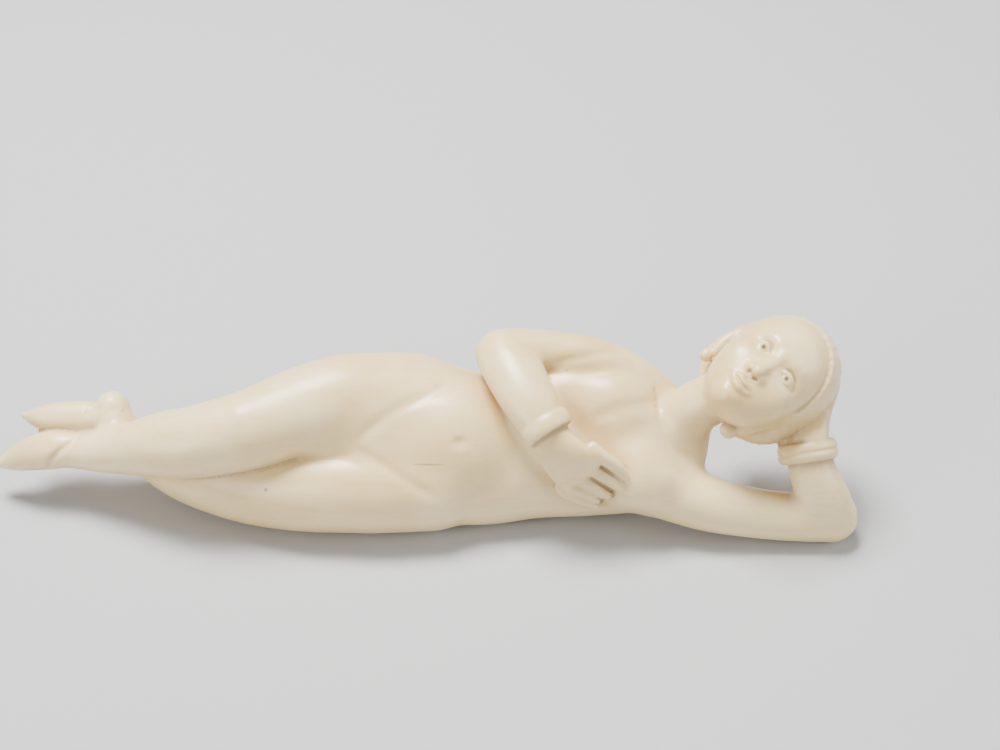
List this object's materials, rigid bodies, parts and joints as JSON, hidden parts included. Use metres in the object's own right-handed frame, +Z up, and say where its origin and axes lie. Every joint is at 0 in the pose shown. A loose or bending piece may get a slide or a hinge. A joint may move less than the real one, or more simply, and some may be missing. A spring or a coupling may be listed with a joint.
{
  "type": "reclining lady figurine",
  "caption": "Small carved figurine of a nude lady lying on her left side, her head propped on her hand, with long shoes, bangles and drawn-back hair.",
  "frame": {"origin": "middle of the figure's footprint box, on the surface she lies on", "axes": "+X from her feet to her head, -Y the side her belly and face turn to, +Z up"},
  "size_m": [0.1283, 0.0254, 0.0302],
  "materials": {
    "old_ivory": "hand-polished, warm cream with yellow-brown age in the hollows"
  },
  "bodies": {
    "root": {"lady_figure": "old_ivory"}
  },
  "joints": []
}
